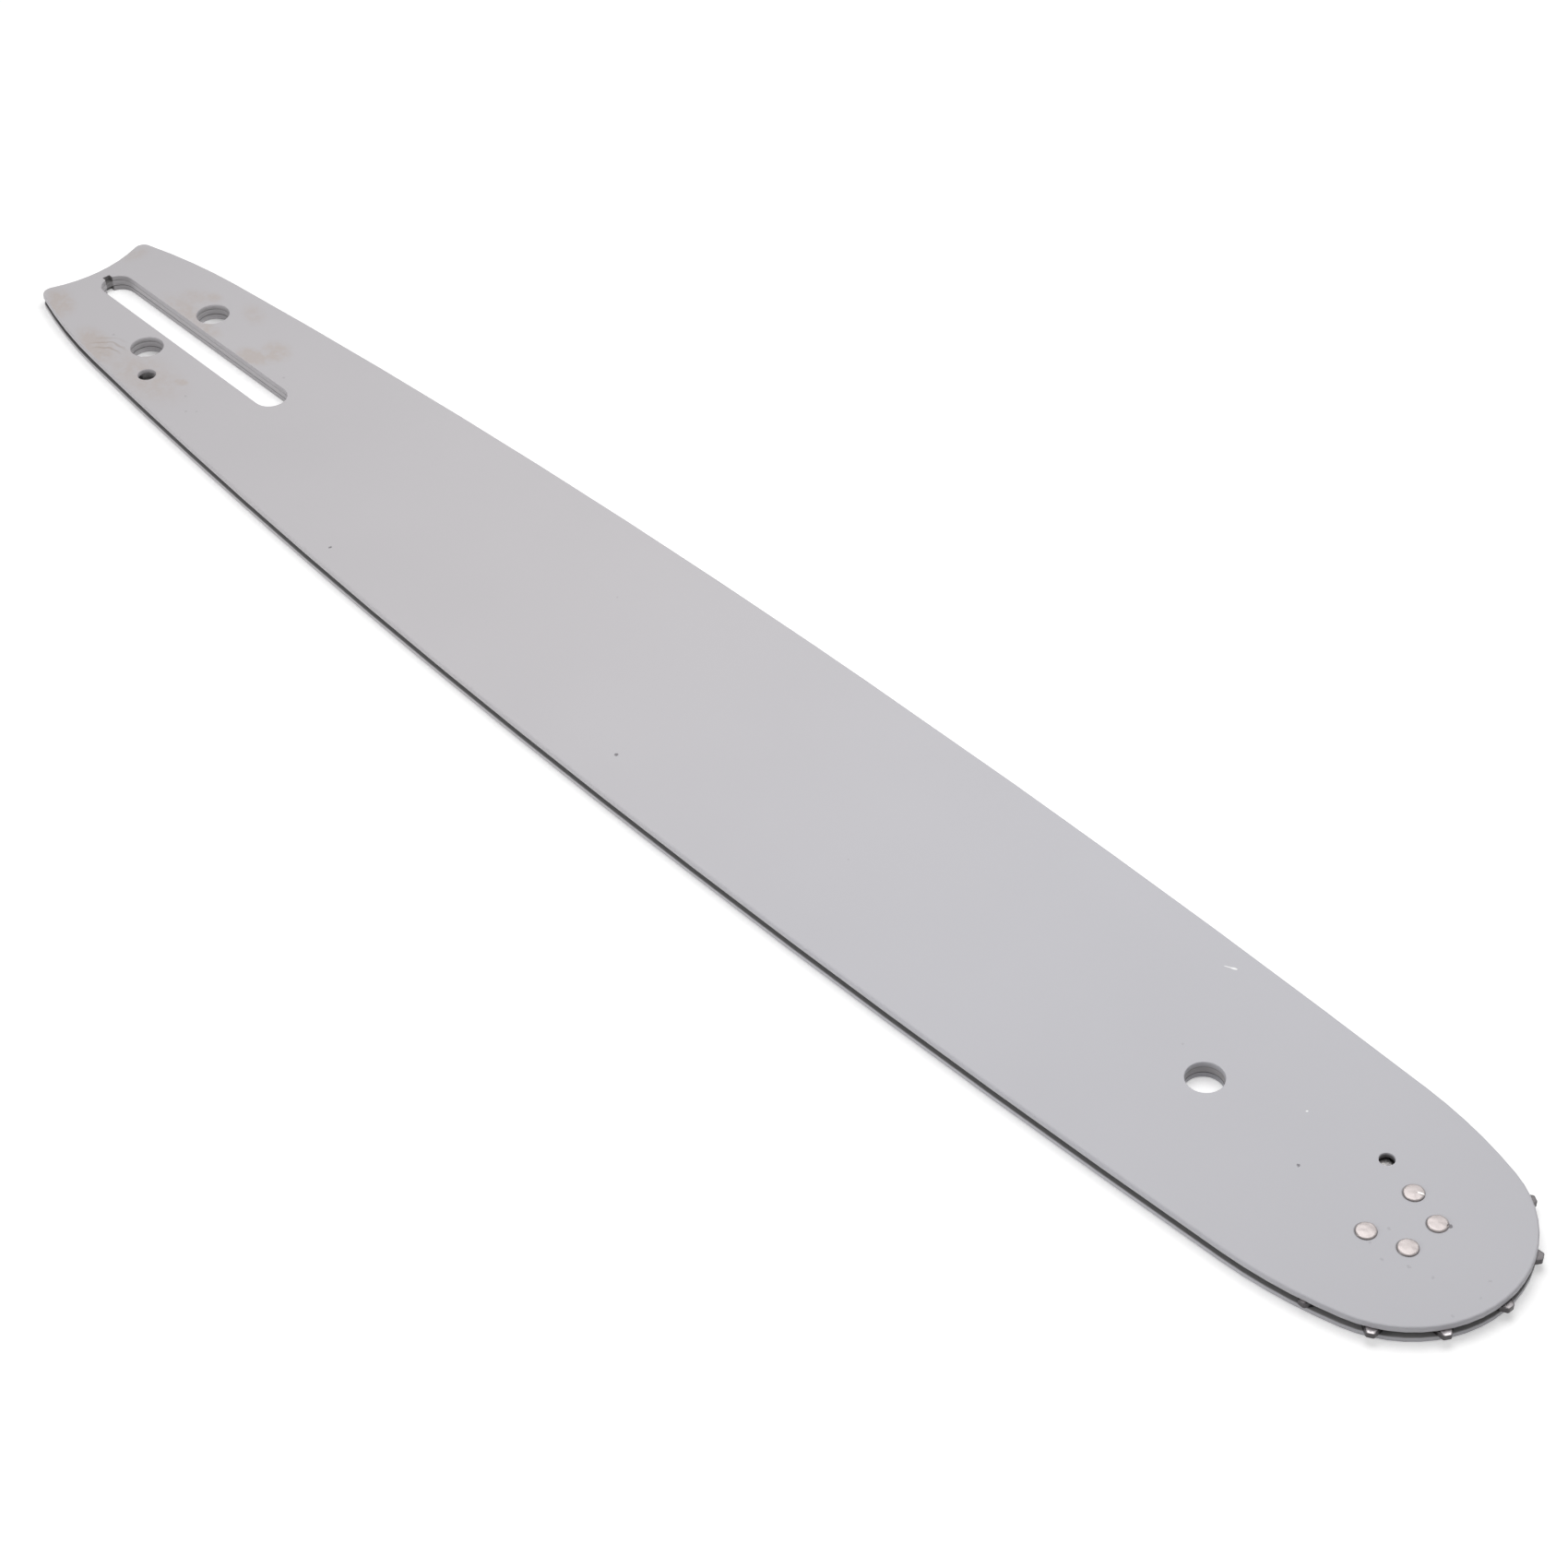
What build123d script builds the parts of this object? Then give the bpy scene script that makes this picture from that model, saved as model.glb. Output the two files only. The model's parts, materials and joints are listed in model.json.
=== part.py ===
"""Sprocket-nose chainsaw guide bar, laminated from three steel sheets.

The bar lies flat on its underside, z = 0. +X runs along the bar to the nose and +Z is up.
The origin is midway between the two tensioner holes. All sizes are millimetres and degrees.
"""

import os
from math import asin, cos, hypot, pi, radians, sin, sqrt, tan

from build123d import *

# Sheets
side_thickness = 1.5
core_thickness = 1.5
groove_depth = 7.0
edge_break = 0.3

# Long edges: nose circle, shoulder arc, belly arc, tail curve and heel arc
nose_x = 409.1
nose_radius = 26.9
shoulder_radius = 110.0
shoulder_margin = 2.4
belly_setback = 169.1
belly_rise = 7.25
heel_length = 29.8
heel_half_width = 22.6
heel_angle = 5.75
heel_radius = 174.0

# Hollow end of the tail
tail_length = 37.0
tail_hollow_radius = 34.0
tail_corner_radius = 2.6

# Mounting slot and holes
tail_land = 4.5
slot_length = 76.0
slot_width = 8.4
nick_width = 2.0
nick_depth = 1.2
tensioner_spacing = 20.6
tensioner_diameter = 8.5
hanging_setback = 51.1
hanging_diameter = 8.4
oil_x = 9.9
oil_y = 17.2
oil_diameter = 4.6

# Nose sprocket
tooth_count = 12
tooth_reach = 1.3
tooth_tip_width = 1.7
tooth_tip_break = 0.2
tooth_flank_angle = 27.0
gullet_radius = 2.5
pocket_clearance = 1.0
end_clearance = 0.1

# Roller bearing, as many rollers as the orbit holds
roller_orbit = 15.3
roller_diameter = 4.7
roller_gap = 0.05
running_clearance = 0.05
grease_diameter = 3.3
grease_angle = 139.5

# Nose rivets, on a circle of five places with the rearmost left empty
rivet_places = 5
rivet_circle_radius = 7.4
rivet_shank_diameter = 3.6
rivet_head_diameter = 4.4
rivet_head_depth = 0.6

# Sizes that follow from the ones above
total_thickness = core_thickness + 2 * side_thickness
half_width = nose_radius + belly_rise
belly_x = nose_x - belly_setback
tail_x = -tail_length
slot_x = tail_x + tail_land
hanging_x = nose_x - hanging_setback
tip_radius = nose_radius + tooth_reach
pocket_radius = tip_radius + pocket_clearance
sprocket_thickness = core_thickness - 2 * end_clearance
roller_count = int(pi / asin((roller_diameter + roller_gap) / (2 * roller_orbit)))
race_radius = roller_orbit - roller_diameter / 2 - running_clearance
bore_radius = roller_orbit + roller_diameter / 2 + running_clearance
nose_centre = Pos(nose_x, 0)


def circles_meet(centre, radius, other, other_radius):
    """Point where two circles cross, on the left of the way from the first centre to the other."""
    gap = other - centre
    along = (radius**2 - other_radius**2 + gap.length**2) / (2 * gap.length)
    aside = sqrt(radius**2 - along**2)
    unit = gap / gap.length
    return centre + unit * along + Vector(-unit.Y, unit.X) * aside


def reach(centre, through, distance):
    """Point at a distance from a centre, on the way through another point."""
    way = through - centre
    return centre + way * (distance / way.length)


def below(point):
    """The same point on the other long edge of the bar."""
    return Vector(point.X, -point.Y)


def sheet_outline(inset=0.0):
    """Face of one sheet. The inset narrows the long edges and leaves the tail end where it is."""
    # The belly arc would pass the nose circle at the shoulder margin, and the shoulder arc joins them
    nose = Vector(nose_x, 0)
    passing = nose_radius + shoulder_margin
    belly_radius = (belly_setback**2 + half_width**2 - passing**2) / (2 * (half_width - passing))
    belly = Vector(belly_x, half_width - belly_radius)
    shoulder = circles_meet(belly, belly_radius - shoulder_radius, nose, shoulder_radius - nose_radius)
    tip = reach(nose, nose + Vector(1, 0), nose_radius - inset)
    nose_end = reach(nose, nose * 2 - shoulder, nose_radius - inset)
    shoulder_end = reach(belly, shoulder, belly_radius - inset)
    belly_top = Vector(belly_x, half_width - inset)

    # The tail curve leaves the belly level and comes to the heel at the heel angle
    slope = radians(heel_angle)
    heel_top = Vector(tail_x + heel_length, heel_half_width)
    heel = heel_top + Vector(sin(slope), -cos(slope)) * heel_radius
    hollow = Vector(tail_x - tail_hollow_radius, 0)
    heel_top = reach(heel, heel_top, heel_radius - inset)
    bend = Vector(heel_top.X + (belly_top.Y - heel_top.Y) / tan(slope), belly_top.Y)
    corner = circles_meet(hollow, tail_hollow_radius, heel, heel_radius - inset)

    edge = [
        RadiusArc(nose_end, shoulder_end, inset - shoulder_radius),
        RadiusArc(shoulder_end, belly_top, inset - belly_radius),
        Bezier(belly_top, bend, heel_top),
        RadiusArc(heel_top, corner, inset - heel_radius),
    ]
    other_edge = [mirror(curve, Plane.XZ) for curve in edge]
    nose_arc = ThreePointArc(nose_end, tip, below(nose_end))
    tail_arc = ThreePointArc(corner, Vector(tail_x, 0), below(corner))
    face = make_face([*edge, *other_edge, nose_arc, tail_arc])
    return fillet(face.vertices().sort_by(Axis.X)[:2], tail_corner_radius)


def mounting_cuts():
    """Slot and holes that go through all three sheets."""
    cuts = Pos(slot_x + slot_length / 2, 0) * SlotOverall(slot_length, slot_width)
    cuts += Pos(0, tensioner_spacing / 2) * Circle(tensioner_diameter / 2)
    cuts += Pos(0, -tensioner_spacing / 2) * Circle(tensioner_diameter / 2)
    cuts += Pos(hanging_x, 0) * Circle(hanging_diameter / 2)
    return cuts


def at_nose(radius, angle):
    """Place at a radius and angle about the sprocket's centre."""
    turn = radians(angle)
    return nose_centre * Pos(radius * cos(turn), radius * sin(turn))


def rivet():
    """Shank with a countersunk head at both faces."""
    shank_radius = rivet_shank_diameter / 2
    head = Pos(0, 0, (total_thickness - rivet_head_depth) / 2) * Cone(
        shank_radius, rivet_head_diameter / 2, rivet_head_depth
    )
    return Cylinder(shank_radius, total_thickness) + head + Rot(180, 0, 0) * head


def rivets():
    """All nose rivets in place."""
    step = 360 / rivet_places
    angles = [step * (place + 0.5) for place in range(rivet_places)]
    return [at_nose(rivet_circle_radius, angle) * rivet() for angle in angles if angle != 180]


def side_plate():
    """Upper side plate, about the middle plane of the bar."""
    cuts = mounting_cuts()
    cuts += Pos(slot_x, 0) * Rectangle(2 * nick_depth, nick_width)
    cuts += Pos(oil_x, -oil_y) * Circle(oil_diameter / 2)
    cuts += at_nose(roller_orbit, grease_angle) * Circle(grease_diameter / 2)
    blank = extrude(sheet_outline(), side_thickness)
    rim = blank.faces().sort_by(Axis.Z)[-1].outer_wire().edges()
    plate = chamfer(rim, edge_break) - extrude(cuts, side_thickness)
    return Pos(0, 0, core_thickness / 2) * plate - rivets()


def core_plate():
    """Middle sheet, set back along the long edges, with the pocket for the sprocket."""
    face = sheet_outline(groove_depth) - mounting_cuts()
    face -= nose_centre * Circle(pocket_radius)
    face -= Pos(oil_x, oil_y) * Circle(oil_diameter / 2)
    face -= Pos(oil_x, -oil_y) * Circle(oil_diameter / 2)
    return extrude(face, core_thickness / 2, both=True)


def sprocket():
    """Star with straight-flanked teeth, round gullets and a plain bore for the rollers."""
    half_pitch = 180 / tooth_count
    tip_half = tooth_tip_width / 2

    # The flanks of two neighbours meet in a valley on the line midway between them
    flank_start = Vector(tip_radius, tip_half).rotate(Axis.Z, -half_pitch)
    valley_radius = flank_start.X + flank_start.Y / tan(radians(tooth_flank_angle + half_pitch))

    corners = []
    for index in range(tooth_count):
        turn = 2 * half_pitch * index
        corners.append(Vector(valley_radius, 0).rotate(Axis.Z, turn - half_pitch))
        corners.append(Vector(tip_radius, -tip_half).rotate(Axis.Z, turn))
        corners.append(Vector(tip_radius, tip_half).rotate(Axis.Z, turn))
    star = make_face(Polyline(corners, close=True))
    middle_radius = (valley_radius + tip_radius) / 2
    tips = [corner for corner in star.vertices() if hypot(corner.X, corner.Y) > middle_radius]
    star = chamfer(tips, tooth_tip_break)
    valleys = [corner for corner in star.vertices() if hypot(corner.X, corner.Y) < middle_radius]
    star = fillet(valleys, gullet_radius) - Circle(bore_radius)
    return nose_centre * extrude(star, sprocket_thickness / 2, both=True)


def inner_race():
    """Disc that the rivets clamp between the side plates."""
    return nose_centre * Cylinder(race_radius, core_thickness) - rivets()


def roller(index):
    """One roller of the full set."""
    place = at_nose(roller_orbit, index * 360 / roller_count)
    return place * Cylinder(roller_diameter / 2, sprocket_thickness)


upper = side_plate()
nodes = {
    "upper_side_plate": upper,
    "lower_side_plate": Rot(180, 0, 0) * upper,
    "core_plate": core_plate(),
    "nose_sprocket": sprocket(),
    "bearing_inner_race": inner_race(),
    "nose_rivets": Compound(rivets()),
}
for index in range(roller_count):
    nodes[f"bearing_roller_{index + 1:02d}"] = roller(index)

os.makedirs("parts", exist_ok=True)
for name, solid in nodes.items():
    export_step(Pos(0, 0, total_thickness / 2) * solid, f"parts/{name}.step")
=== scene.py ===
"""Studio picture of a laminated chainsaw guide bar lying on a white floor.

The bar's own frame is used throughout: +X to the nose, +Z up, underside on the floor.
Objects are in metres. Sizes inside the materials are millimetres.
A pair for an edge, rim, depth or fade is where a share starts and where it is full.
A noise is given as its size, detail and roughness.
"""

import json
from math import cos, pi, radians, sin

import bmesh
import bpy
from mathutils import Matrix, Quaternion, Vector, noise


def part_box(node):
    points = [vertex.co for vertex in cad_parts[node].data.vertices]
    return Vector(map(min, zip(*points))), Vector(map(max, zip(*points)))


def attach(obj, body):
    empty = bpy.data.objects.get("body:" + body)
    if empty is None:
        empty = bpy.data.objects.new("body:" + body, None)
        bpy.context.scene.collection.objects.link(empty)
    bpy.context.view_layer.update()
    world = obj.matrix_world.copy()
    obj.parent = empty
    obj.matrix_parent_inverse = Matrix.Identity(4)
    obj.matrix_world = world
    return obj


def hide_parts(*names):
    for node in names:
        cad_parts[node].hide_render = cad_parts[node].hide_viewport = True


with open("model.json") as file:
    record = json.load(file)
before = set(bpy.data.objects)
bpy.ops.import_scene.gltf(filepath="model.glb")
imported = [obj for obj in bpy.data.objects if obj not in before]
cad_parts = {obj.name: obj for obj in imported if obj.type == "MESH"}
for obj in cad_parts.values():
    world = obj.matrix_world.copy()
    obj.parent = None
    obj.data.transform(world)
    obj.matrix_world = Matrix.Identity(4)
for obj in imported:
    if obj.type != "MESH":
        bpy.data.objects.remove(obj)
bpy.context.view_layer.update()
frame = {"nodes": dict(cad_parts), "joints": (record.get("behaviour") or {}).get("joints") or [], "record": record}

MM = 0.001
black = (0.0, 0.0, 0.0)

# Camera, for a square picture
camera_place = Vector((0.6756, -0.3852, 0.5415))
camera_target = Vector((0.2347, -0.0030, 0.0045))
camera_roll = radians(-1.8)
camera_lens = 82.64
camera_clip = (0.01, 50.0)
sensor_width = 36.0

# Floor, lifted towards white, most of all far out and not under the tensioner holes
floor_size = 12.0
floor_drop = 0.05 * MM
floor_colour = (0.9, 0.9, 0.9)
floor_lift = 0.34
far_floor_lift = 0.62
far_floor = (0.28, 0.90)
shaded_floor = ((-4.0, -8.0, 3.5), (-4.0, 12.6, 3.5))
shaded_floor_edge = (0.0, 3.0)

# Light
sky_level = 0.42
lamps = {
    "overhead": {"place": (0.21, 0.12, 0.50), "size": 0.45, "power": 1.68},
    "front": {"place": (-0.10, -0.88, 0.42), "size": 0.60, "power": 2.2},
}
lamp_target = Vector((0.20, 0.0, 0.0))

# Bar sizes that the looks need, in millimetres
sprocket_joint = next(joint for joint in frame["joints"] if joint["name"] == "sprocket_spin")
nose_x = sprocket_joint["pos_m"][0] / MM
top_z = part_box("upper_side_plate")[1].z / MM
upper_seam_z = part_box("core_plate")[1].z / MM
lower_seam_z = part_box("core_plate")[0].z / MM
slot_x = -32.5
nick_half_width = 1.0
oil_places = ((9.9, -17.2, 2.3), (9.9, 17.2, 2.3))
tensioner_places = ((0.0, 10.3, 4.25), (0.0, -10.3, 4.25))
hanging_place = (358.0, 0.0, 4.2)
grease_orbit = 15.3
grease_angles = (139.5, -139.5)
grease_radius = 1.65

# Rivets, with a nick in one and a notch in another: rivet, angle, half angle and depth
rivet_circle_radius = 7.4
rivet_angles = (36, 108, 252, 324)
rivet_sides = 48
rivet_head_radius = 2.17
rivet_shank_radius = 1.8
rivet_head_depth = 0.6
rivet_rise = 0.46
rivet_nick = (1, 31, 14, 0.24)
rivet_notch = (0, 30, 9, 0.30)

# Low dome of a rivet: its rings in shares of the head's radius, and of the rise at the rim
crown_rings = (0.15, 0.3, 0.45, 0.6, 0.72, 0.82, 0.90)
crown_fall = 0.22
rim_rings = ((0.955, 0.70), (0.985, 0.50), (1.0, 0.10))
rim_raggedness = 0.035
rim_frequency = 1.7
rim_spread = 5.0
crown_lump = 0.04
lump_frequency = 0.9
least_rise = 0.05
nick_start = 0.25
nick_growth = 1.3
notch_power = 4

# Softened edges
weld_distance = 0.001 * MM
flat_angle = radians(0.5)
sharp_angle = radians(30)
sheet_edge = 0.19 * MM
tooth_edge = 0.08 * MM
edge_segments = 2

# Paint, with faint clouds, painted shade on the upright sides at the nose and a fine grain
paint_tail_colour = (0.545, 0.528, 0.545)
paint_nose_colour = (0.540, 0.535, 0.566)
paint_blend = (120.0, 330.0)
mark_depth = (0.12, 0.02)
cloud_noise = (40.0, 3.0, 0.5)
cloud_shade = 0.05
side_slope = (0.97, 0.60)
nose_side = (395.0, 415.0)
nose_side_painted_shade = 0.125
paint_grain = (0.5, 3.0, 0.6)
paint_grain_edge = (0.2, 0.8)
paint_grain_depth = 0.004
paint_roughness = (0.46, 0.58)
paint_gloss = 0.35

# Brown smears on the paint: x, y, half length, half width, turn, strength
smears = (
    (-32.0, -15.8, 9.0, 5.5, -22, 1.3),
    (-9.5, -19.6, 12.0, 5.6, -14, 1.5),
    (10.0, -18.0, 20.0, 10.0, 0, 0.75),
    (18.8, -12.9, 3.0, 2.0, 20, 1.5),
    (22.5, 6.8, 7.0, 4.2, 10, 1.5),
    (25.0, 12.0, 6.5, 5.5, -20, 1.1),
    (-5.9, 14.6, 4.0, 3.0, 0, 0.9),
    (-9.4, 10.9, 7.0, 5.5, 30, 0.7),
    (-5.0, 6.4, 15.0, 4.0, 0, 0.9),
    (4.0, 5.6, 8.0, 3.0, 0, 0.9),
    (7.5, 17.8, 7.0, 4.0, -20, 0.6),
    (-36.5, 11.5, 3.5, 5.5, 0, 0.6),
)
smear_tint = (0.945, 0.89, 0.835)
smear_fade = (1.0, 0.15)
mottle_noise = (2.2, 4.0, 0.6)
mottle_edge = (0.32, 0.64)
mottle_shares = (0.35, 1.15)

# Streaks in one smear: wavering rings round a centre, seen in an oval patch
streak_centre = (-2.5, -25.4)
streak_patch = (-7.0, -17.0, 6.5, 4.6, 20)
streak_fade = (1.0, 0.35)
streak_spacing = 2.3
streak_edge = (0.25, 0.95)
streak_strength = 0.85
streak_tint = (0.82, 0.77, 0.725)
waver_noise = (5.0, 2.0, 0.5)
waver_reach = 3.2

# Dark and faint specks in the paint: x, y and radius
dark_specks = ((201.8, -23.6, 0.46), (98.3, -25.5, 0.36), (386.6, -3.9, 0.34), (417.1, 5.6, 0.50))
faint_specks = (
    (409.4, -3.4, 0.36), (413.5, -10.2, 0.32), (418.3, -7.8, 0.40), (423.1, -6.5, 0.30),
    (431.2, 0.7, 0.32), (432.6, -3.8, 0.26), (431.8, -11.0, 0.32), (406.6, -9.1, 0.34),
    (409.1, -8.7, 0.24), (35.3, 7.1, 0.36), (24.4, -15.4, 0.36), (29.7, -19.1, 0.36),
    (31.6, -17.2, 0.24), (160.0, 12.0, 0.24), (262.0, -9.0, 0.22), (348.6, 3.4, 0.28),
    (-10.3, -13.5, 0.42),
)
dark_speck_tint = (0.40, 0.39, 0.40)
faint_speck_tint = (0.87, 0.865, 0.87)
speck_edge = (0.14, -0.14)
ragged_noise = (0.45, 2.0, 0.5)
ragged_reach = 0.45

# Chips down to bright metal: x, y, half length, half width and turn
chips = (
    (341.2, 26.8, 0.80, 0.30, 26),
    (340.2, 26.35, 1.15, 0.13, 26),
    (378.2, 8.0, 0.30, 0.20, 60),
)
chip_edge = (1.1, 0.8)
chip_colour = (0.92, 0.92, 0.92)

# Grime round the rivets, with a painted shadow on their side away from the light, and in the groove
grime_and_shade_colour = (0.060, 0.056, 0.054)
groove_colour = (0.30, 0.295, 0.30)
groove_half_height = (0.95, 0.80)
ring_shadow_shift = (-0.06, -0.10)
ring_edge = (0.28, 0.06)
ring_strength = 0.45

# Grime in the seams between the sheets, in the holes and towards the slot's tail end
seam_strengths = ((upper_seam_z, 0.33), (lower_seam_z, 0.55))
seam_edge = (0.17, 0.068)
seam_rim = (0.6, 0.3)
seam_slot = (10.0, -25.0)
seam_slot_shares = (0.15, 0.75)

# Grime in the oil and grease holes, and painted shade in the tensioner and hanging holes and at the slot's tail
# end, growing with depth: rim, depth below the nearer face, strength
oil_grime = ((0.30, 0.12), (0.8, 1.6), 0.48)
tensioner_shade = ((0.30, 0.12), (0.2, 1.3), 0.25)
grease_grime = ((0.20, 0.05), (0.0, 0.9), 0.7)
hanging_shade = ((0.25, 0.05), (0.1, 2.2), 0.35)
slot_end_place = (-31.3, 2.5, 0.0)
slot_end_shade = ((6.5, 2.0), (0.08, 0.3), 0.33)

# Grime and painted shade in the nick at the slot's tail end, and its share on the core's wall below the ledge
nick_front = (0.25, 0.05)
nick_back = (-1.5, -1.4)
nick_side = (0.16, 0.02)
nick_rim = (0.08, 0.3)
nick_ledge = (-0.15, -0.05)
nick_strength = 0.8
core_nick_shares = (0.85, 1.0)

# Core plate, painted in the slot and holes and bare in the groove
core_bare = (14.8, 15.2)
core_roughness = 0.5

# Sprocket teeth, with a painted highlight on the middle of their level faces and painted shade on their flanks and
# tips, the highlight brighter towards one side of the nose
tooth_count = 12
tooth_tip_radius = 28.2
tooth_tip_half_width = 0.85
tooth_flank_slope = 0.51
tooth_shade_colour = (0.085, 0.080, 0.083)
tooth_highlight_colour = (0.70, 0.66, 0.67)
tooth_roughness = 0.32
highlight_slope = (0.35, 0.95)
highlight_side = (0.15, 0.55)
highlight_tip = (0.0, 0.35)
highlight_grain = (0.45, 3.0, 0.6)
highlight_grain_edge = (0.35, 0.6)
highlight_grain_shares = (0.7, 1.0)
brighter_side_angle = radians(-55)
brighter_side_edge = (radians(60), radians(40))
brighter_side_shares = (0.06, 1.0)

# Bearing
bearing_grease_colour = (0.17, 0.165, 0.165)
bearing_bright_colour = (0.28, 0.27, 0.265)
bearing_grain = (0.7, 3.0, 0.6)
bearing_grain_edge = (0.46, 0.64)
bearing_roughness = 0.3

# Rivet steel, and the scar in the nick, bare metal with a painted highlight: distance from the centre, half
# length, half width
rivet_dark_colour = (0.31, 0.28, 0.275)
rivet_light_colour = (0.40, 0.365, 0.36)
scar_and_highlight_colour = (0.78, 0.75, 0.74)
rivet_scar = (1.35, 0.85, 0.30)
rivet_scar_edge = (1.1, 0.7)
rivet_grain = (0.5, 4.0, 0.65)
rivet_grain_depth = 0.02
rivet_roughness = (0.36, 0.56)


class Tree:
    """Short ways to add nodes to one material and join them."""

    def __init__(self, name):
        self.material = bpy.data.materials.new(name)
        self.material.use_nodes = True
        self.nodes = self.material.node_tree.nodes
        self.links = self.material.node_tree.links
        self.shader = self.nodes["Principled BSDF"]

    def add(self, kind, **settings):
        """New node with its settings."""
        node = self.nodes.new("ShaderNode" + kind)
        for key, value in settings.items():
            setattr(node, key, value)
        return node

    def plug(self, socket, value):
        """Joins an output to a socket, or sets the socket to a plain value."""
        if isinstance(value, bpy.types.NodeSocket):
            self.links.new(value, socket)
        else:
            socket.default_value = value

    def place(self):
        """Place on the bar in millimetres."""
        scale = self.add("VectorMath", operation="SCALE")
        self.plug(scale.inputs[0], self.add("TexCoord").outputs["Object"])
        self.plug(scale.inputs["Scale"], 1 / MM)
        return scale.outputs[0]

    def math(self, operation, first, second=0.0, third=0.0):
        """Result of one calculation on numbers."""
        node = self.add("Math", operation=operation)
        for socket, value in zip(node.inputs, (first, second, third)):
            self.plug(socket, value)
        return node.outputs[0]

    def vector(self, operation, first, second):
        """Result of one calculation on vectors."""
        node = self.add("VectorMath", operation=operation)
        self.plug(node.inputs[0], first)
        self.plug(node.inputs[1], second)
        return node.outputs["Value" if operation in ("DISTANCE", "DOT_PRODUCT") else "Vector"]

    def parts(self, vector):
        """The x, y and z of a vector."""
        node = self.add("SeparateXYZ")
        self.plug(node.inputs[0], vector)
        return node.outputs

    def level(self):
        """1 on faces that lie level, 0 on upright ones."""
        return self.math("ABSOLUTE", self.parts(self.add("TexCoord").outputs["Normal"])["Z"])

    def step(self, value, start, end):
        """Smooth step from 0 at start to 1 at end, which may be the smaller."""
        node = self.add("MapRange", interpolation_type="SMOOTHSTEP")
        low, high = min(start, end), max(start, end)
        self.plug(node.inputs["Value"], value)
        self.plug(node.inputs["From Min"], low)
        self.plug(node.inputs["From Max"], high)
        self.plug(node.inputs["To Min"], 0.0 if start < end else 1.0)
        self.plug(node.inputs["To Max"], 1.0 if start < end else 0.0)
        return node.outputs["Result"]

    def between(self, share, start, end):
        """Number from start to end, by a share of 0 to 1."""
        return self.math("MULTIPLY_ADD", share, end - start, start)

    def noise(self, vector, feature, detail, roughness):
        """Noise from 0 to 1 with features of about that size."""
        node = self.add("TexNoise")
        self.plug(node.inputs["Vector"], vector)
        self.plug(node.inputs["Scale"], 1 / feature)
        self.plug(node.inputs["Detail"], detail)
        self.plug(node.inputs["Roughness"], roughness)
        return node.outputs["Fac"]

    def mix(self, share, first, second, blend="MIX"):
        """Mix of two colours, by the sockets that the node keeps for colours."""
        node = self.add("Mix", data_type="RGBA", blend_type=blend)
        self.plug(node.inputs[0], share)
        for socket, value in zip(node.inputs[6:8], (first, second)):
            self.plug(socket, (*value, 1.0) if isinstance(value, tuple) else value)
        return node.outputs[2]

    def tinted(self, share, colour, tint):
        """Colour with a share of it seen through a tint."""
        return self.mix(share, colour, self.mix(1.0, colour, tint, "MULTIPLY"))

    def away(self, place, spots):
        """Distance across the face to the nearest of some spots, less their radii."""
        flat = self.vector("MULTIPLY", place, (1, 1, 0))
        nearest = None
        for x, y, radius in spots:
            gap = self.vector("DISTANCE", flat, (x, y, 0))
            gap = self.math("SUBTRACT", gap, radius)
            nearest = gap if nearest is None else self.math("MINIMUM", nearest, gap)
        return nearest

    def oval(self, place, x, y, length, width, turn):
        """0 in the middle of an oval on the face, 1 on its edge and more outside."""
        node = self.add("Mapping", vector_type="TEXTURE")
        self.plug(node.inputs["Vector"], self.vector("MULTIPLY", place, (1, 1, 0)))
        self.plug(node.inputs["Location"], (x, y, 0))
        self.plug(node.inputs["Rotation"], (0, 0, radians(turn)))
        self.plug(node.inputs["Scale"], (length, width, 1))
        return self.vector("DISTANCE", node.outputs["Vector"], (0, 0, 0))

    def either(self, shares):
        """The largest of some shares."""
        largest = shares[0]
        for share in shares[1:]:
            largest = self.math("MAXIMUM", largest, share)
        return largest

    def all_of(self, *shares):
        """Product of some shares."""
        product = shares[0]
        for share in shares[1:]:
            product = self.math("MULTIPLY", product, share)
        return product

    def bump(self, height, depth):
        """Normal of a surface whose height of 0 to 1 stands for that depth."""
        node = self.add("Bump")
        self.plug(node.inputs["Height"], height)
        self.plug(node.inputs["Distance"], depth * MM)
        return node.outputs["Normal"]

    def finish(self, **sockets):
        """Joins what is given to the shader's sockets, and gives the material back."""
        for name, value in sockets.items():
            self.plug(self.shader.inputs[name.replace("_", " ")], value)
        return self.material


def round_nose(radius, angle):
    """Place on the face at a radius and angle about the sprocket's centre, in millimetres."""
    turn = radians(angle)
    return (nose_x + radius * cos(turn), radius * sin(turn))


def rivet_centres():
    """Centres of the nose rivets."""
    return [round_nose(rivet_circle_radius, angle) for angle in rivet_angles]


def grease_places():
    """Grease holes of the two side plates, with their radius."""
    return [(*round_nose(grease_orbit, angle), grease_radius) for angle in grease_angles]


def from_middle(tree, z):
    """Distance from the bar's middle plane."""
    return tree.math("ABSOLUTE", tree.math("SUBTRACT", z, top_z / 2))


def seam_grime(tree, place, x, z):
    """Share of grime at the seams between the sheets."""
    lines = []
    for seam, strength in seam_strengths:
        gap = tree.math("ABSOLUTE", tree.math("SUBTRACT", z, seam))
        lines.append(tree.math("MULTIPLY", tree.step(gap, *seam_edge), strength))
    holes = tree.step(tree.away(place, (*tensioner_places, hanging_place)), *seam_rim)
    slot = tree.between(tree.step(x, *seam_slot), *seam_slot_shares)
    return tree.all_of(tree.either(lines), tree.either([holes, slot]))


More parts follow.
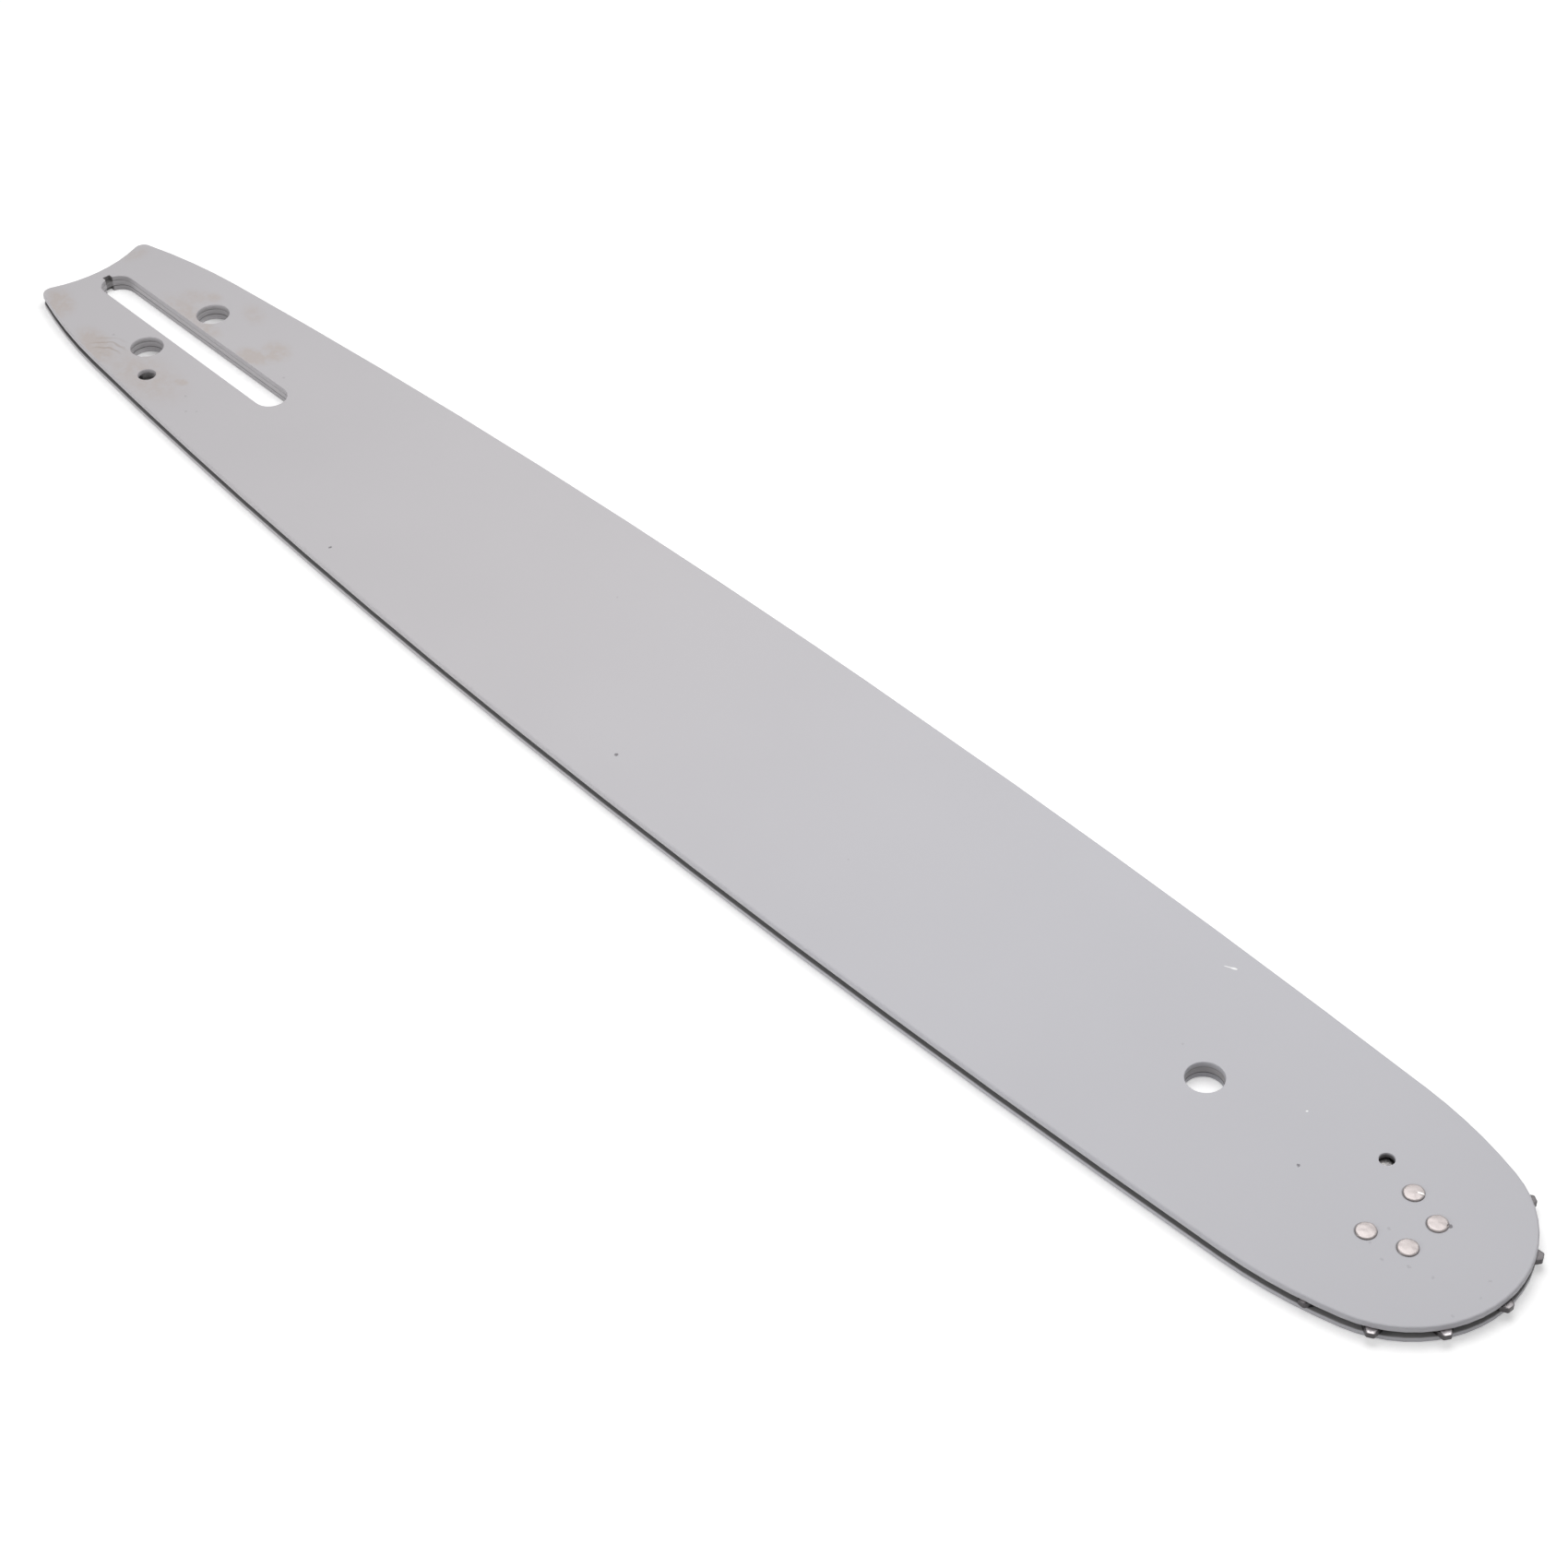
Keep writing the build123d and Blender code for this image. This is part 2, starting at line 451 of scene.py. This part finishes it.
def hole_grime_and_shade(tree, place, z):
    """Share of grime and painted shade in the holes and the slot's tail end, growing with the depth: grime in the
    oil and grease holes, painted shade in the tensioner and hanging holes and at the slot's tail end.
    """
    depth = tree.math("SUBTRACT", top_z / 2, from_middle(tree, z))
    kinds = (
        (oil_places, oil_grime),
        (tensioner_places, tensioner_shade),
        (grease_places(), grease_grime),
        ((hanging_place,), hanging_shade),
        ((slot_end_place,), slot_end_shade),
    )
    shares = []
    for places, (rim, depths, strength) in kinds:
        near = tree.step(tree.away(place, places), *rim)
        shares.append(tree.all_of(near, tree.step(depth, *depths), strength))
    return tree.either(shares)


def nick_grime_and_shade(tree, x, y, z):
    """Share of grime and painted shade on the walls of the nick at the slot's tail end."""
    front = tree.step(x, *(slot_x + gap for gap in nick_front))
    back = tree.step(x, *(slot_x + gap for gap in nick_back))
    beside = tree.step(tree.math("ABSOLUTE", y), *(nick_half_width + gap for gap in nick_side))
    within = tree.step(from_middle(tree, z), *(top_z / 2 - gap for gap in nick_rim))
    return tree.all_of(front, back, beside, within, nick_strength)


def smeared(tree, place, colour):
    """Colour with the brown smears and their curved streaks."""
    mottle = tree.step(tree.noise(place, *mottle_noise), *mottle_edge)
    shares = []
    for *oval, strength in smears:
        fade = tree.step(tree.oval(place, *oval), *smear_fade)
        shares.append(tree.math("MULTIPLY", fade, strength))
    share = tree.all_of(tree.either(shares), tree.between(mottle, *mottle_shares))
    colour = tree.tinted(share, colour, smear_tint)

    waver = tree.math("MULTIPLY", tree.noise(place, *waver_noise), waver_reach)
    radius = tree.math("ADD", tree.away(place, [(*streak_centre, 0.0)]), waver)
    wave = tree.math("SINE", tree.math("MULTIPLY", radius, 2 * pi / streak_spacing))
    fade = tree.step(tree.oval(place, *streak_patch), *streak_fade)
    share = tree.all_of(tree.step(wave, *streak_edge), fade, streak_strength)
    return tree.tinted(share, colour, streak_tint)


def marked(tree, place, z, colour):
    """Colour with the smears, specks and chips of the upper face."""
    on_top = tree.step(z, *(top_z - gap for gap in mark_depth))
    colour = tree.mix(on_top, colour, smeared(tree, place, colour))
    ragged = tree.between(tree.noise(place, *ragged_noise), -ragged_reach, ragged_reach)
    for specks, tint in ((dark_specks, dark_speck_tint), (faint_specks, faint_speck_tint)):
        gap = tree.math("ADD", tree.away(place, specks), ragged)
        colour = tree.tinted(tree.all_of(tree.step(gap, *speck_edge), on_top), colour, tint)
    chip = tree.either([tree.step(tree.oval(place, *oval), *chip_edge) for oval in chips])
    return tree.mix(tree.all_of(chip, on_top), colour, chip_colour)


def ring_grime_and_shadow(tree, place):
    """Share of grime and painted shadow in rings round the rivets."""
    # The rings are shifted so that the painted shadow lies on the rivets' side away from the light
    shift_x, shift_y = ring_shadow_shift
    rings = [(x + shift_x, y + shift_y, rivet_head_radius) for x, y in rivet_centres()]
    return tree.math("MULTIPLY", tree.step(tree.away(place, rings), *ring_edge), ring_strength)


def bar_paint():
    """Satin grey paint, with marks on the upper face, painted shade on the upright sides at the nose, grime in the
    seams, grime and painted shade in the holes and the nick, and grime and painted shadow round the rivets.
    """
    tree = Tree("bar_paint")
    place = tree.place()
    x, y, z = tree.parts(place)
    cloud = tree.noise(place, *cloud_noise)
    colour = tree.mix(tree.step(x, *paint_blend), paint_tail_colour, paint_nose_colour)
    colour = tree.mix(tree.math("MULTIPLY", cloud, cloud_shade), colour, black)
    # Painted shade: the upright sides and edges at the nose are darkened where less light falls on them
    side = tree.all_of(tree.step(tree.level(), *side_slope), tree.step(x, *nose_side))
    colour = tree.mix(tree.math("MULTIPLY", side, nose_side_painted_shade), colour, black)
    colour = marked(tree, place, z, colour)
    colour = tree.mix(tree.step(from_middle(tree, z), *groove_half_height), colour, groove_colour)
    # Grime in the seams, grime and painted shadow round the rivets, and grime and painted shade in the holes and
    # the nick
    grime_and_shade = tree.either([
        ring_grime_and_shadow(tree, place),
        seam_grime(tree, place, x, z),
        hole_grime_and_shade(tree, place, z),
        nick_grime_and_shade(tree, x, y, z),
    ])
    grain = tree.noise(place, *paint_grain)
    return tree.finish(
        Base_Color=tree.mix(grime_and_shade, colour, grime_and_shade_colour),
        Roughness=tree.between(tree.step(grain, *paint_grain_edge), *paint_roughness),
        Normal=tree.bump(grain, paint_grain_depth),
        Specular_IOR_Level=paint_gloss,
    )


def core_steel():
    """Paint on the walls of the slot and holes, dark oily steel in the groove, grime in the seams, and grime and
    painted shade in the holes and the nick.
    """
    tree = Tree("core_steel")
    place = tree.place()
    x, y, z = tree.parts(place)
    bare = tree.step(tree.math("ABSOLUTE", y), *core_bare)
    colour = tree.mix(bare, paint_tail_colour, groove_colour)
    # The core's ledge in the nick faces up into the light and gets the full painted shade, the wall below it a
    # little less
    ledge = tree.step(z, *(upper_seam_z + gap for gap in nick_ledge))
    # Grime in the seams, and grime and painted shade in the holes and the nick
    grime_and_shade = tree.either([
        seam_grime(tree, place, x, z),
        hole_grime_and_shade(tree, place, z),
        tree.all_of(nick_grime_and_shade(tree, x, y, z), tree.between(ledge, *core_nick_shares)),
    ])
    colour = tree.mix(grime_and_shade, colour, grime_and_shade_colour)
    return tree.finish(Base_Color=colour, Roughness=core_roughness, Specular_IOR_Level=paint_gloss)


def tooth_middle(tree, x, y, radius):
    """1 in the middle of each tooth's face, 0 along its flanks and tip."""
    turn = tree.math("PINGPONG", tree.math("ARCTAN2", y, x), pi / tooth_count)
    behind = tree.math("SUBTRACT", tooth_tip_radius, radius)
    flank = tree.math("MULTIPLY_ADD", behind, tooth_flank_slope, tooth_tip_half_width)
    inside = tree.math("SUBTRACT", flank, tree.math("MULTIPLY", turn, radius))
    return tree.all_of(tree.step(inside, *highlight_side), tree.step(behind, *highlight_tip))


def sprocket_steel():
    """Steel with a painted highlight on the level faces of the teeth and painted shade on their flanks and tips.
    """
    tree = Tree("sprocket_steel")
    place = tree.place()
    offset = tree.vector("SUBTRACT", place, (nose_x, 0.0, 0.0))
    x, y, _ = tree.parts(offset)
    radius = tree.vector("DISTANCE", tree.vector("MULTIPLY", offset, (1, 1, 0)), (0, 0, 0))
    along = tree.vector("DOT_PRODUCT", offset, (cos(brighter_side_angle), sin(brighter_side_angle), 0.0))
    brighter_side = tree.step(tree.math("DIVIDE", along, radius), *(cos(edge) for edge in brighter_side_edge))
    grain = tree.step(tree.noise(place, *highlight_grain), *highlight_grain_edge)
    # Painted highlight on the middle of the teeth's level faces, painted shade elsewhere; the highlight is
    # brighter towards one side of the nose
    bright = tree.all_of(
        tree.step(tree.level(), *highlight_slope),
        tooth_middle(tree, x, y, radius),
        tree.between(brighter_side, *brighter_side_shares),
        tree.between(grain, *highlight_grain_shares),
    )
    colour = tree.mix(bright, tooth_shade_colour, tooth_highlight_colour)
    return tree.finish(Base_Color=colour, Metallic=1.0, Roughness=tooth_roughness)


def bearing_steel():
    """Ground steel under a film of dark grease."""
    tree = Tree("bearing_steel")
    grain = tree.step(tree.noise(tree.place(), *bearing_grain), *bearing_grain_edge)
    colour = tree.mix(grain, bearing_grease_colour, bearing_bright_colour)
    return tree.finish(Base_Color=colour, Metallic=1.0, Roughness=bearing_roughness)


def rivet_steel():
    """Bare steel, dull and a little pink."""
    tree = Tree("rivet_steel")
    place = tree.place()
    grain = tree.noise(place, *rivet_grain)
    colour = tree.mix(grain, rivet_dark_colour, rivet_light_colour)
    rivet, angle, _, _ = rivet_nick
    x, y = rivet_centres()[rivet]
    reach, length, width = rivet_scar
    turn = radians(angle)
    # The scar is painted bright, as bare metal and as the highlight on its tilted facet
    scar = tree.oval(place, x + reach * cos(turn), y + reach * sin(turn), length, width, angle)
    return tree.finish(
        Base_Color=tree.mix(tree.step(scar, *rivet_scar_edge), colour, scar_and_highlight_colour),
        Metallic=1.0,
        Roughness=tree.between(grain, *rivet_roughness),
        Normal=tree.bump(grain, rivet_grain_depth),
    )


def rivet_outline():
    """Radius and height of a rivet's rings, from the top of its dome down to its flush foot."""
    rings = []
    for share in crown_rings:
        rings.append((share * rivet_head_radius, top_z + rivet_rise * (1 - crown_fall * share**2)))
    for share, height in rim_rings:
        rings.append((share * rivet_head_radius, top_z + height * rivet_rise))
    rings.append((rivet_head_radius, top_z))
    rings.append((rivet_shank_radius, top_z - rivet_head_depth))
    rings.append((rivet_shank_radius, rivet_head_depth))
    rings.append((rivet_head_radius, 0.0))
    return rings


def damage_depth(index, turn, damage):
    """Depth of one rivet's damage at an angle, 0 outside its wedge and on the other rivets."""
    rivet, angle, half_angle, depth = damage
    if index != rivet:
        return 0.0
    off = abs((turn - radians(angle) + pi) % (2 * pi) - pi)
    return depth * max(0.0, 1 - off / radians(half_angle))


def head_point(index, centre, radius, z, turn):
    """Point of a head's upper part, with its ragged rim, its lumps and any damage."""
    way = Vector((cos(turn), sin(turn), 0))
    ragged = abs(noise.noise(way * rim_frequency + Vector((0, 0, rim_spread * index))))
    lump = noise.noise(Vector((*centre, index)) + way * radius * lump_frequency)
    outer = radius / rivet_head_radius
    notch = outer**notch_power * damage_depth(index, turn, rivet_notch)
    reach = radius * (1 - rim_raggedness * ragged) - notch
    nick = min(1.0, outer * nick_growth) * damage_depth(index, turn, rivet_nick)
    drop = nick if outer > nick_start else 0.0
    height = max(top_z + least_rise, z + crown_lump * lump - drop)
    return Vector((*centre, height)) + way * reach


def rivet_ring(index, centre, radius, z):
    """Points of one ring of a rivet, plain below the upper face."""
    points = []
    for side in range(rivet_sides):
        turn = 2 * pi * side / rivet_sides
        if z > top_z:
            points.append(head_point(index, centre, radius, z, turn))
        else:
            points.append(Vector((*centre, z)) + radius * Vector((cos(turn), sin(turn), 0)))
    return points


def add_rivet(shape, index, centre):
    """One closed rivet."""
    rings = []
    for radius, z in rivet_outline():
        points = rivet_ring(index, centre, radius, z)
        rings.append([shape.verts.new(point * MM) for point in points])
    top = shape.verts.new(Vector((*centre, top_z + rivet_rise)) * MM)
    foot = shape.verts.new(Vector((*centre, 0)) * MM)
    for side in range(rivet_sides):
        after = (side + 1) % rivet_sides
        shape.faces.new((top, rings[0][side], rings[0][after]))
        shape.faces.new((foot, rings[-1][after], rings[-1][side]))
        for upper, lower in zip(rings, rings[1:]):
            shape.faces.new((upper[side], lower[side], lower[after], upper[after]))


def rivets(material):
    """Nose rivets with low domed heads, in place of the flush ones."""
    shape = bmesh.new()
    for index, centre in enumerate(rivet_centres()):
        add_rivet(shape, index, centre)
    mesh = bpy.data.meshes.new("domed_rivets")
    shape.to_mesh(mesh)
    shape.free()
    for face in mesh.polygons:
        face.use_smooth = True
    mesh.set_sharp_from_angle(angle=sharp_angle)
    mesh.materials.append(material)
    piece = bpy.data.objects.new("domed_rivets", mesh)
    bpy.context.scene.collection.objects.link(piece)
    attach(piece, "bar")
    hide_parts("nose_rivets")


def dress_nodes():
    """Gives each solid the material of its slot in the record."""
    makers = (bar_paint, core_steel, sprocket_steel, bearing_steel, rivet_steel)
    finishes = {maker.__name__: maker() for maker in makers}
    for row in frame["record"]["subparts"]:
        node = frame["nodes"][row["node"]]
        for slot in node.material_slots:
            slot.material = finishes[row["material_slot"]]
    return finishes


def soften_edges(names, width):
    """Rounds the sharp edges of some solids, which also parts the sheets at their seams."""
    for name in names:
        node = frame["nodes"][name]
        weld = node.modifiers.new("weld", "WELD")
        weld.merge_threshold = weld_distance
        flats = node.modifiers.new("flats", "DECIMATE")
        flats.decimate_type = "DISSOLVE"
        flats.angle_limit = flat_angle
        bevel = node.modifiers.new("bevel", "BEVEL")
        bevel.limit_method = "ANGLE"
        bevel.angle_limit = sharp_angle
        bevel.width = width
        bevel.segments = edge_segments
        bevel.use_clamp_overlap = False
        bevel.harden_normals = True


def camera():
    """Camera at the picture's viewing angle."""
    data = bpy.data.cameras.new("camera")
    data.lens = camera_lens
    data.sensor_width = sensor_width
    data.sensor_fit = "HORIZONTAL"
    data.clip_start, data.clip_end = camera_clip
    item = bpy.data.objects.new("camera", data)
    item.rotation_mode = "QUATERNION"
    turn = (camera_target - camera_place).to_track_quat("-Z", "Y")
    item.rotation_quaternion = turn @ Quaternion((0, 0, 1), camera_roll)
    item.location = camera_place
    bpy.context.scene.collection.objects.link(item)
    bpy.context.scene.camera = item


def is_seen(nodes, links):
    """1 for rays that show the background: straight, reflected and refracted ones."""
    path = nodes.new("ShaderNodeLightPath")
    seen = path.outputs["Is Camera Ray"]
    for name in ("Is Glossy Ray", "Is Transmission Ray"):
        either = nodes.new("ShaderNodeMath")
        either.operation = "MAXIMUM"
        links.new(seen, either.inputs[0])
        links.new(path.outputs[name], either.inputs[1])
        seen = either.outputs[0]
    return seen


def sky():
    """Even light from all round, white where it is seen."""
    world = bpy.data.worlds.new("sky")
    world.use_nodes = True
    nodes, links = world.node_tree.nodes, world.node_tree.links
    level = nodes.new("ShaderNodeMapRange")
    links.new(is_seen(nodes, links), level.inputs["Value"])
    level.inputs["To Min"].default_value = sky_level
    level.inputs["To Max"].default_value = 1.0
    nodes["Background"].inputs["Color"].default_value = (1, 1, 1, 1)
    links.new(level.outputs["Result"], nodes["Background"].inputs["Strength"])
    bpy.context.scene.world = world


def floor_white():
    """White that is lifted where it is seen, and keeps the bar's shadow."""
    tree = Tree("floor")
    place = tree.place()
    away = tree.away(place, [(*lamp_target.xy / MM, 0.0)])
    far = tree.step(away, *(reach / MM for reach in far_floor))
    lift = tree.between(far, floor_lift, far_floor_lift)
    open_floor = tree.step(tree.away(place, shaded_floor), *shaded_floor_edge)
    return tree.finish(
        Base_Color=(*floor_colour, 1.0),
        Roughness=1.0,
        Specular_IOR_Level=0.0,
        Emission_Color=(1.0, 1.0, 1.0, 1.0),
        Emission_Strength=tree.all_of(is_seen(tree.nodes, tree.links), open_floor, lift),
    )


def floor():
    """White floor."""
    mesh = bpy.data.meshes.new("floor")
    shape = bmesh.new()
    bmesh.ops.create_grid(shape, x_segments=1, y_segments=1, size=floor_size / 2)
    shape.to_mesh(mesh)
    shape.free()
    mesh.materials.append(floor_white())
    item = bpy.data.objects.new("floor", mesh)
    item.location.z = -floor_drop
    bpy.context.scene.collection.objects.link(item)


def lamp(name, place, size, power):
    """One large soft lamp that faces the bar."""
    data = bpy.data.lights.new(name, "AREA")
    data.shape = "DISK"
    data.size = size
    data.energy = power
    item = bpy.data.objects.new(name, data)
    item.location = place
    item.rotation_mode = "QUATERNION"
    item.rotation_quaternion = (lamp_target - item.location).to_track_quat("-Z", "Y")
    bpy.context.scene.collection.objects.link(item)


bpy.context.scene.view_settings.view_transform = "Standard"
finishes = dress_nodes()
rivets(finishes["rivet_steel"])
soften_edges(("upper_side_plate", "core_plate", "lower_side_plate"), sheet_edge)
soften_edges(("nose_sprocket",), tooth_edge)
camera()
sky()
floor()
for name, lamp_values in lamps.items():
    lamp(name, **lamp_values)
